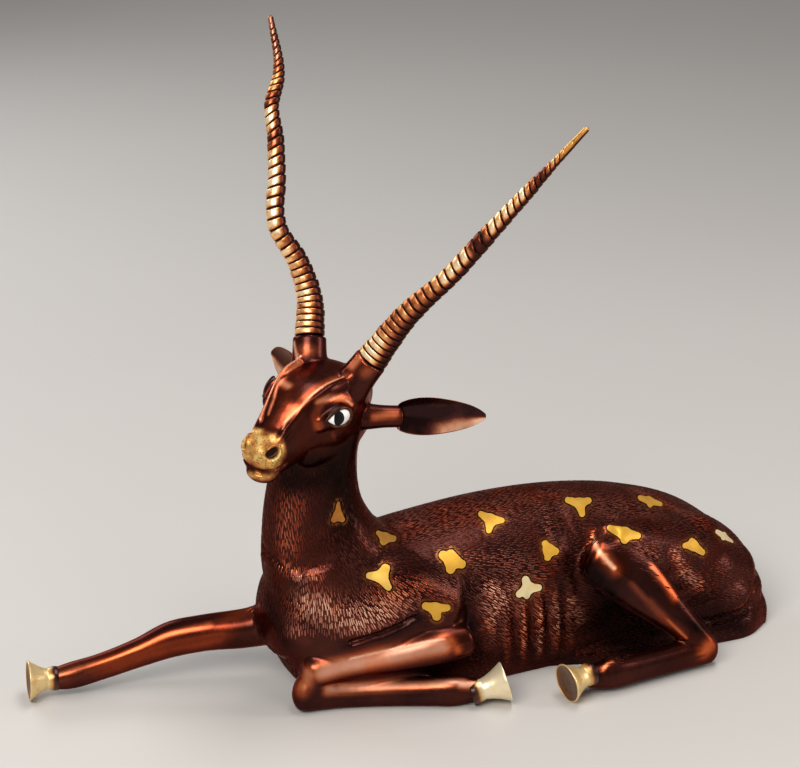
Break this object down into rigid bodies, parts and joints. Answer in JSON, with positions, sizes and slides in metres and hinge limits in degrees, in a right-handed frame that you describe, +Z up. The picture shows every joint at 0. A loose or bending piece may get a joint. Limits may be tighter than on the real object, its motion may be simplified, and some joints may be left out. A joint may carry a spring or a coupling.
{
  "type": "brass antelope figurine",
  "caption": "Lying antelope figurine cast in dark patinated brass, with ringed spiral horns, golden spots and glossy inlaid eyes; it stands on a shelf as an ornament.",
  "frame": {"origin": "on the flat underside (z = 0), below the middle of the trunk", "axes": "the animal faces -X, its left flank is at -Y, +Z is up"},
  "size_m": [0.5049, 0.2097, 0.4226],
  "materials": {
    "patinated_brass": "dark maroon-brown glossy patina over chased fur, with polished golden spots, hooves and muzzle",
    "horn_brass": "rubbed golden rings with dark grooves between them",
    "eye_enamel": "glossy white inlay with a black pupil"
  },
  "bodies": {
    "root": {"deer_casting": "patinated_brass", "left_horn": "horn_brass", "right_horn": "horn_brass", "left_eye": "eye_enamel", "right_eye": "eye_enamel"}
  },
  "joints": []
}
